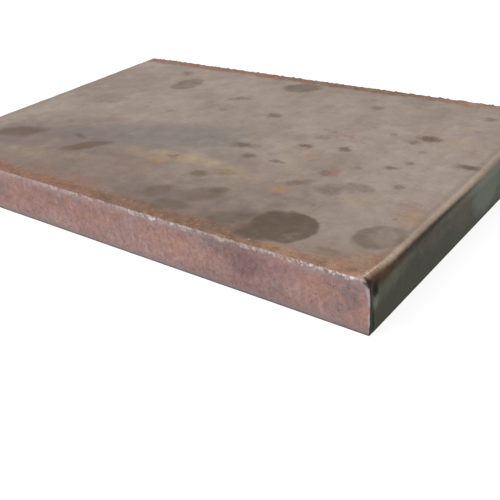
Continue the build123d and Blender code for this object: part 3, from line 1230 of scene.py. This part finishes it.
reliefLayers = {
    # each layer's height, the width of its cells along x, y and z, and its seed
    "grain": (0.05, (0.9, 0.9, 0.9), 1),
    "coarseGrain": (0.07, (2.3, 2.3, 2.3), 2),
    "drag": (0.05, (1.8, 1.8, 11.0), 3),          # faint upright drag lines
    "cutSwell": (0.12, (24.0, 24.0, 15.0), 4),
    "lumps": (1.0, (1.7, 1.7, 1.6), 5),
    "smallLumps": (0.5, (1.0, 1.0, 1.0), 6),
    "millSwell": (0.05, (9.0, 9.0, 6.0), 7),
    "millGrain": (0.02, (1.6, 1.6, 1.6), 8),
    "arrisDents": (0.12, (3.6, 3.6, 3.6), 9),
    "finWaver": (0.3, (2.6, 2.6, 2.6), 10),
    "topSwell": (0.035, (38.0, 52.0, 50.0), 11),
    "topRipple": (0.012, (9.0, 14.0, 50.0), 12),
}

scaleSlot, cutSlot, millSlot = 0, 1, 2            # of the plate's three finishes


def smoothNoise(points, cell, seed):
    # random numbers from -1 to 1 on a lattice of this cell size, eased from one to the next
    margin = 20.0                                     # of the lattice round the plate
    lowest = -np.array([halfLength, halfWidth, 0.0]) - margin
    spot = (points - lowest) / np.array(cell)
    low = np.floor(spot).astype(int)
    part = spot - low
    part = part * part * (3 - 2 * part)
    size = (2 * (-lowest + [0, 0, margin]) / np.array(cell)).astype(int) + 3
    values = np.random.default_rng(seed).uniform(-1, 1, size)
    total = 0.0
    for corner in np.ndindex(2, 2, 2):
        share = np.prod(np.where(np.array(corner) == 1, part, 1 - part), axis=-1)
        at = low + corner
        total = total + share * values[at[..., 0], at[..., 1], at[..., 2]]
    return total


def layer(points, name):
    # one relief layer: its noise times its height
    height, cell, seed = reliefLayers[name]
    return height * smoothNoise(points, cell, seed)


def easeArray(value, low, high):
    # 0 below low, 1 above high, and in between three squares less two cubes of the share
    t = np.clip((value - low) / (high - low), 0, 1)
    return t * t * (3 - 2 * t)


def quarterRound(depth, radius):
    # how far a quarter round sits in from its side at this depth below its top
    rest = radius - np.clip(depth, 0, radius)
    return radius - np.sqrt(np.maximum(radius ** 2 - rest ** 2, 0))


def ringTemplate():
    # once round the plate, starting in the middle of the near left arris: on each side half an arc,
    # the straight, and half an arc; steps are shorter towards the corners
    # gives each point's place on a square of side 2 and its outward direction
    form = plateForm
    squares, outwards, sides = [], [], []
    kinds = ((form["endSteps"], form["endGrading"]), (form["sideSteps"], form["sideGrading"]))
    for k, (steps, grading) in enumerate(kinds * 2):
        heading = math.radians(90 * k - 90)
        outward = np.array([math.cos(heading), math.sin(heading)])
        along = np.array([-outward[1], outward[0]])
        t = np.linspace(-1, 1, steps + 1)
        t = (1 - grading) * t + grading * np.sin(math.pi / 2 * t)
        t = np.concatenate([[-1, -1], t, [1]])
        angle = heading + np.radians(np.concatenate([[-45, -22.5], np.zeros(steps + 1), [22.5]]))
        squares.append(outward + t[:, None] * along)
        outwards.append(np.stack([np.cos(angle), np.sin(angle)], -1))
        sides.append(np.full(len(t), k))
    return np.concatenate(squares), np.concatenate(outwards), np.concatenate(sides)


def arrisRadius(y):
    # upper radius of the right mill edge: even, then opening out over the last run to the near
    # corner, with the square of how far it has come
    form = plateForm
    t = np.clip((y + halfWidth) / form["cornerRun"], 0, 1)
    return form["millRadius"] + (form["cornerRadius"] - form["millRadius"]) * (1 - t) ** 2


def scoopInset(y, height):
    # the scoop's cutter stands outside the mill edge: a straight cylinder up to the waist, then a
    # slanted cone whose circle moves and grows evenly; a circle is set by its chord and its depth
    form = plateForm
    (grooveWidth, grooveDepth), (topWidth, topDepth) = form["groove"], form["scoopTop"]
    share = 1 + form["scoopOverrun"] / (thickness - form["scoopWaist"])
    widths = np.array([grooveWidth, grooveWidth + (topWidth - grooveWidth) * share])
    depths = np.array([grooveDepth, grooveDepth + (topDepth - grooveDepth) * share])
    radii = (widths ** 2 / 4 + depths ** 2) / (2 * depths)
    t = np.clip((height - form["scoopWaist"]) / (thickness - form["scoopWaist"]), 0, 1) / share
    spans = (radii, widths, radii - depths)
    radius, width, behind = [low + (high - low) * t for low, high in spans]
    centre = -halfWidth + form["finThickness"] + width / 2
    return np.sqrt(np.maximum(radius ** 2 - (y - centre) ** 2, 0)) - behind


def surfacePoints(height, inset, square, outward):
    # the plate's section carried round its outline: at each height the sides stand in by their crown
    # and rounds, and rows with an inset lie on a face, further in by that much
    # returns the points and what the finishes need to know about them
    form = plateForm
    blend = easeArray(inset, 0.0, form["gridInset"])
    corner = form["uprightRadius"] * (1 - inset / form["gridInset"])
    fromTop = thickness - height
    cutIn = quarterRound(fromTop, form["lipRadius"]) + quarterRound(height, form["footRadius"]) + inset
    y = square[:, 1] * (halfWidth - cutIn - corner) + corner * outward[:, 1]
    crown = form["millCrown"] * (2 * height / thickness - 1) ** 2
    footIn = quarterRound(height, form["millFootRadius"])
    rightRadius = arrisRadius(y) * (1 - blend) + form["millRadius"] * blend
    leftIn = crown + footIn + quarterRound(fromTop, form["millRadius"]) + inset
    rightIn = crown + footIn + quarterRound(fromTop, rightRadius) + inset
    scoop = np.where(inset > 0, -1.0, scoopInset(y, height))
    softened = np.sqrt((rightIn - scoop) ** 2 + form["scoopBlend"])
    scoopedIn = 0.5 * (rightIn + scoop + softened) - form["scoopRaise"]
    rightIn = np.where(scoop > -form["scoopMargin"], np.maximum(rightIn, scoopedIn), rightIn)
    middle = (leftIn - rightIn) / 2
    reach = halfLength - (leftIn + rightIn) / 2
    x = middle + square[:, 0] * (reach - corner) + corner * outward[:, 0]
    radius = np.where(square[:, 0] > 0, rightRadius, form["millRadius"])
    depth = np.clip(fromTop, 0, radius)
    turn = np.arccos(1 - depth / radius) / (math.pi / 2) + np.maximum(fromTop - radius, 0) / radius
    lip = form["lipRadius"]
    lipDepth = np.clip(fromTop, 0, lip)
    lipPath = lip * np.arccos(1 - lipDepth / lip) + np.maximum(fromTop - lip, 0)
    turn = np.where(inset > 0, -inset / radius, turn)
    lipPath = np.where(inset > 0, -inset, lipPath)
    x, y, z, turn, lipPath = np.broadcast_arrays(x, y, height, turn, lipPath)
    return np.stack([x, y, z], -1), {"millTurn": turn, "lipPath": lipPath}


def beadBelt(facts):
    # 1 on the melted arris of a cut end, fading a little way onto the top and down the face
    path, form = facts["lipPath"], plateForm
    return easeArray(path, *form["beltStarts"]) * (1 - easeArray(path, *form["beltEnds"]))


def beadRise(points, facts):
    # melted lumps: noise of two sizes on the belt, cut off below so that they stand apart
    lumps = layer(points, "lumps") + layer(points, "smallLumps")
    return beadBelt(facts) * np.maximum(lumps + 0.15, 0)


def bandRelief(points, facts, outward, inset):
    # how far each point of the sides and the rim is pushed out along its normal: relief of the cut
    # ends and of the mill edges, each weighted by how squarely the point faces that way
    form = plateForm
    cutFade, millFade = form["rimFades"]
    cut = outward[:, 1] ** 2 * np.exp(-inset / cutFade)
    mill = outward[:, 0] ** 2 * np.exp(-inset / millFade)
    face = easeArray(facts["lipPath"], *form["cutFaceStarts"])
    cutRelief = face * sum(layer(points, name) for name in ("grain", "coarseGrain", "drag", "cutSwell"))
    cutRelief = cutRelief + form["beadHeight"] * facts["beadRise"] - form["beltSink"] * beadBelt(facts)
    arris = 1 - easeArray(facts["millTurn"], *form["arrisEnds"])
    millRelief = layer(points, "millSwell") + layer(points, "millGrain")
    millRelief = millRelief + arris * (layer(points, "arrisDents") - form["arrisWear"])
    return (cut * cutRelief + mill * millRelief) * easeArray(points[..., 2], *form["footFade"])


def topWave(points):
    # rolled plate is never quite flat: slow swells of a few hundredths, always below nominal
    flat = points * [1, 1, 0]
    return layer(flat, "topSwell") + layer(flat, "topRipple") - plateForm["topSink"]


def finShape(points):
    # how strongly a point belongs to the thin fin along the near right upright edge
    # it fades from its middle as a bell curve does, and at both ends of its height
    form = plateForm
    away = np.hypot(points[..., 0] - halfLength + form["finMiddle"], points[..., 1] + halfWidth)
    height = points[..., 2]
    standing = easeArray(height, *form["finStarts"]) * (1 - easeArray(height, *form["finEnds"]))
    return np.exp(-(away / form["finReach"]) ** 2) * standing


def stripFaces(outer, inner):
    # joins two rings: quads, or three triangles a step where the inner ring has half as many points
    nextOuter, nextInner = np.roll(outer, -1), np.roll(inner, -1)
    if len(outer) == len(inner):
        return [np.stack([outer, nextOuter, nextInner, inner], -1)]
    even, odd, later = outer[0::2], outer[1::2], nextOuter[1::2]
    return [
        np.stack([even, odd, inner], -1),
        np.stack([inner, odd, nextInner], -1),
        np.stack([odd, later, nextInner], -1),
    ]


def gridFaces(ring, inner):
    # fills a ring with a plain grid: the ring's own points are its border, the inner ones its inside
    rows, columns = inner.shape[0] + 1, inner.shape[1] + 1
    index = np.zeros((rows + 1, columns + 1), int)
    index[1:-1, 1:-1] = inner
    closed = np.append(ring, ring[0])
    index[0, :] = closed[0:columns + 1]
    index[:, -1] = closed[columns:columns + rows + 1]
    index[-1, ::-1] = closed[columns + rows:2 * columns + rows + 1]
    index[::-1, 0] = closed[2 * columns + rows:]
    quads = np.stack([index[:-1, :-1], index[:-1, 1:], index[1:, 1:], index[1:, :-1]], -1)
    return quads.reshape(-1, 4)


def addPoints(surface, points, facts):
    # keeps the points with what the finishes need to know of them, and returns their numbers
    first = sum(len(chunk) for chunk in surface["points"])
    surface["points"].append(points.reshape(-1, 3))
    surface["facts"].append({name: value.reshape(-1) for name, value in facts.items()})
    return first + np.arange(points[..., 0].size).reshape(points.shape[:-1])


def addFaces(surface, arrays, slot, turnedOver=False):
    for array in arrays:
        surface["faces"].append(array[:, ::-1] if turnedOver else array)
        surface["slots"].append(np.broadcast_to(slot, len(array)))


def bandRows():
    # height and inset of each row of the band: up the side, in shorter steps towards its two
    # arrises, and over the rim of the top; and the number of the side's last row
    form = plateForm
    foot = form["footDepth"] * (np.arange(form["footRows"]) / form["footRows"]) ** 2
    face = np.linspace(form["footDepth"], thickness - form["capDepth"], form["faceRows"], endpoint=False)
    cap = thickness - form["capDepth"] * (np.arange(form["capRows"], -1, -1) / form["capRows"]) ** 2
    side = np.concatenate([foot, face, cap])
    rim = np.array(form["rimInsets"])
    heights = np.concatenate([side, np.full(len(rim), thickness)])
    return heights, np.concatenate([np.zeros(len(side)), rim]), len(side) - 1


def shapeBand(heights, insets, square, outward):
    # the band's points, pushed out along their normals by the relief
    band, facts = surfacePoints(heights[:, None], insets[:, None], square, outward)
    around = np.roll(band, -1, 1) - np.roll(band, 1, 1)
    normal = np.cross(around, np.gradient(band, axis=0))
    normal /= np.linalg.norm(normal, axis=-1, keepdims=True)
    facts["beadRise"] = beadRise(band, facts)
    facts["finEdge"] = finShape(band)
    band = band + normal * bandRelief(band, facts, outward, insets[:, None])[..., None]
    band[..., 0] += facts["finEdge"] * (layer(band, "finWaver") - plateForm["finWear"])
    band[..., 2] += topWave(band) * easeArray(heights, thickness - 3.0, thickness)[:, None]
    band[..., 2] = np.maximum(band[..., 2], 0)
    return band, facts


def addLid(surface, ringIds, square, outward, top):
    # closes the top or the underside: rings that thin out inwards, then a plain grid
    form = plateForm
    height = thickness if top else 0.0
    rings = [(inset, 2) for inset in form["topInsets" if top else "undersideInsets"]]
    for inset, thin in rings + [(form["gridInset"], 4)]:
        place = np.array([height]), np.array([inset])
        ring, facts = surfacePoints(*place, square[::thin], outward[::thin])
        ring[:, 2] += topWave(ring) if top else 0
        newIds = addPoints(surface, ring, facts)
        addFaces(surface, stripFaces(ringIds, newIds), scaleSlot, turnedOver=not top)
        ringIds = newIds
    # a side has four points more than steps, and the last ring keeps every fourth point
    columns, rows = [(form[steps] + 4) // 4 for steps in ("endSteps", "sideSteps")]
    x, y = np.meshgrid(ring[1:columns, 0], ring[columns + 1:columns + rows, 1])
    inner = np.stack([x, y, np.full(x.shape, height)], -1)
    inner[..., 2] += topWave(inner) if top else 0
    farOff = np.full(x.shape, -20.0)                  # the grid lies far from every edge
    innerIds = addPoints(surface, inner, {"millTurn": farOff, "lipPath": farOff})
    addFaces(surface, [gridFaces(ringIds, innerIds)], scaleSlot, turnedOver=not top)


def makeSurface(name, surface, finishes):
    # one smooth mesh object of all the points and faces, with the facts as attributes
    points = np.concatenate(surface["points"]) / metre
    faces = [face for array in surface["faces"] for face in array.tolist()]
    mesh = bpy.data.meshes.new(name)
    mesh.from_pydata(points.tolist(), [], faces)
    for fact in ("millTurn", "lipPath", "beadRise", "finEdge"):
        values = np.concatenate([known.get(fact, 0 * known["lipPath"]) for known in surface["facts"]])
        mesh.attributes.new(fact, "FLOAT", "POINT").data.foreach_set("value", values.astype(np.float32))
    slots = np.concatenate(surface["slots"]).astype(np.int32)
    mesh.polygons.foreach_set("material_index", slots)
    mesh.polygons.foreach_set("use_smooth", np.ones(len(faces), bool))
    for finish in finishes:
        mesh.materials.append(finish)
    mesh.update()
    mesh.validate()
    piece = bpy.data.objects.new(name, mesh)
    bpy.context.scene.collection.objects.link(piece)
    print(name, "has", len(points), "points and", len(faces), "faces")
    return piece


def buildPlate(finishes):
    square, outward, sideOf = ringTemplate()
    isEnd = sideOf % 2 == 0
    sideSlots = np.where(isEnd, cutSlot, millSlot)
    beadSlots = np.where(isEnd, cutSlot, scaleSlot)   # the beads reach onto the rim's first rows
    surface = {"points": [], "facts": [], "faces": [], "slots": []}
    heights, insets, lastSide = bandRows()
    ids = addPoints(surface, *shapeBand(heights, insets, square, outward))
    slotOfRow = [sideSlots] * lastSide + [beadSlots] * 2 + [scaleSlot] * len(heights)
    for row in range(len(heights) - 1):
        addFaces(surface, stripFaces(ids[row], ids[row + 1]), slotOfRow[row])
    addLid(surface, ids[-1], square, outward, top=True)
    addLid(surface, ids[0], square, outward, top=False)
    return makeSurface("steelPlateSurface", surface, finishes)


finishes = [makeScaleFinish(), makeCutFinish(), makeMillFinish()]
print("finishes ready")
plate = buildPlate(finishes)
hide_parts("steel_plate")
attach(plate, "root")


# Camera: stands off the near corner, looks down along the corner's diagonal, a little rolled

cameraStand = {
    "fromCorner": (110.22, -201.38, 171.13),   # millimetres from the near corner's foot
    "yaw": 0.688566,                           # turned from +Y to the left, in radians
    "pitch": 0.517271,                         # below level
    "roll": -0.088246,
    "lens": 52.83,
}


def placeCamera():
    stand = cameraStand
    right = np.array([math.cos(stand["yaw"]), math.sin(stand["yaw"]), 0])
    level = np.array([-right[1], right[0], 0])
    forward = level * math.cos(stand["pitch"]) - np.array([0, 0, math.sin(stand["pitch"])])
    up = np.cross(right, forward)
    c, s = math.cos(stand["roll"]), math.sin(stand["roll"])
    right, up = c * right + s * up, c * up - s * right
    camera = bpy.data.objects.new("camera", bpy.data.cameras.new("camera"))
    camera.data.lens = stand["lens"]
    camera.data.clip_start = 0.01
    camera.data.clip_end = 50
    place = (nearCorner + stand["fromCorner"]) / metre
    camera.matrix_world = Matrix([
        (*[float(axis[row]) for axis in (right, up, -forward)], float(place[row])) for row in range(3)
    ] + [(0, 0, 0, 1)])
    bpy.context.scene.collection.objects.link(camera)
    bpy.context.scene.camera = camera


placeCamera()
print("camera placed")


# Floor, world and lamps. The floor is open where the plate lies on it, so that the view from
# underneath shows the plate's underside; from above the plate covers the opening.

studio = {
    "floorHalf": 6.0,                 # metres
    "floorColour": (0.5, 0.5, 0.5),   # as the plate sees it
    "floorShown": (0.2, 0.2, 0.2),    # as the eye sees it, so that the shadow stays faint
    "floorGlow": 0.86,                # what the eye sees on top of the lit floor
    "worldLight": 0.6,
    "lampSize": 2.0,
    "lampPower": 44.0,
    "lampPlace": (-0.9, -1.3, 2.0),
}


def seenDirectly(tree):
    # 1 for camera, mirror and glass rays
    rays = addNode(tree, "ShaderNodeLightPath")
    both = calc(tree, "MAXIMUM", rays.outputs["Is Camera Ray"], rays.outputs["Is Glossy Ray"])
    return calc(tree, "MAXIMUM", both, rays.outputs["Is Transmission Ray"])


def buildStudio():
    look = studio
    half = look["floorHalf"]
    form = plateForm
    holeX = (halfLength - form["millCrown"] - form["millFootRadius"]) / metre
    holeY = (halfWidth - form["footRadius"]) / metre
    points = [
        (side * reachX, end * reachY, 0)
        for reachX, reachY in ((half, half), (holeX, holeY))
        for side, end in ((-1, -1), (1, -1), (1, 1), (-1, 1))
    ]
    mesh = bpy.data.meshes.new("floor")
    mesh.from_pydata(points, [], [(k, (k + 1) % 4, 4 + (k + 1) % 4, 4 + k) for k in range(4)])
    floor = bpy.data.objects.new("floor", mesh)
    bpy.context.scene.collection.objects.link(floor)
    material = bpy.data.materials.new("studioFloor")
    material.use_nodes = True
    tree = material.node_tree
    shader = tree.nodes["Principled BSDF"]
    shown = mixColours(tree, seenDirectly(tree), (*look["floorColour"], 1), (*look["floorShown"], 1))
    feed(tree, shader.inputs["Base Color"], shown)
    shader.inputs["Roughness"].default_value = 0.9
    shader.inputs["Specular IOR Level"].default_value = 0.1
    shader.inputs["Emission Color"].default_value = (1, 1, 1, 1)
    glow = times(tree, seenDirectly(tree), look["floorGlow"])
    feed(tree, shader.inputs["Emission Strength"], glow)
    mesh.materials.append(material)

    world = bpy.data.worlds.new("studioWorld")
    world.use_nodes = True
    bpy.context.scene.world = world
    tree = world.node_tree
    background = tree.nodes["Background"]
    background.inputs["Color"].default_value = (1, 1, 1, 1)
    seen = seenDirectly(tree)
    feed(tree, background.inputs["Strength"], spread(tree, seen, look["worldLight"], 1.0))

    lamp = bpy.data.objects.new("softbox", bpy.data.lights.new("softbox", "AREA"))
    lamp.data.size = look["lampSize"]
    lamp.data.energy = look["lampPower"]
    lamp.location = look["lampPlace"]
    lamp.rotation_euler = (-lamp.location).to_track_quat("-Z", "Y").to_euler()
    bpy.context.scene.collection.objects.link(lamp)


buildStudio()
bpy.context.scene.view_settings.view_transform = "Standard"
print("studio ready")
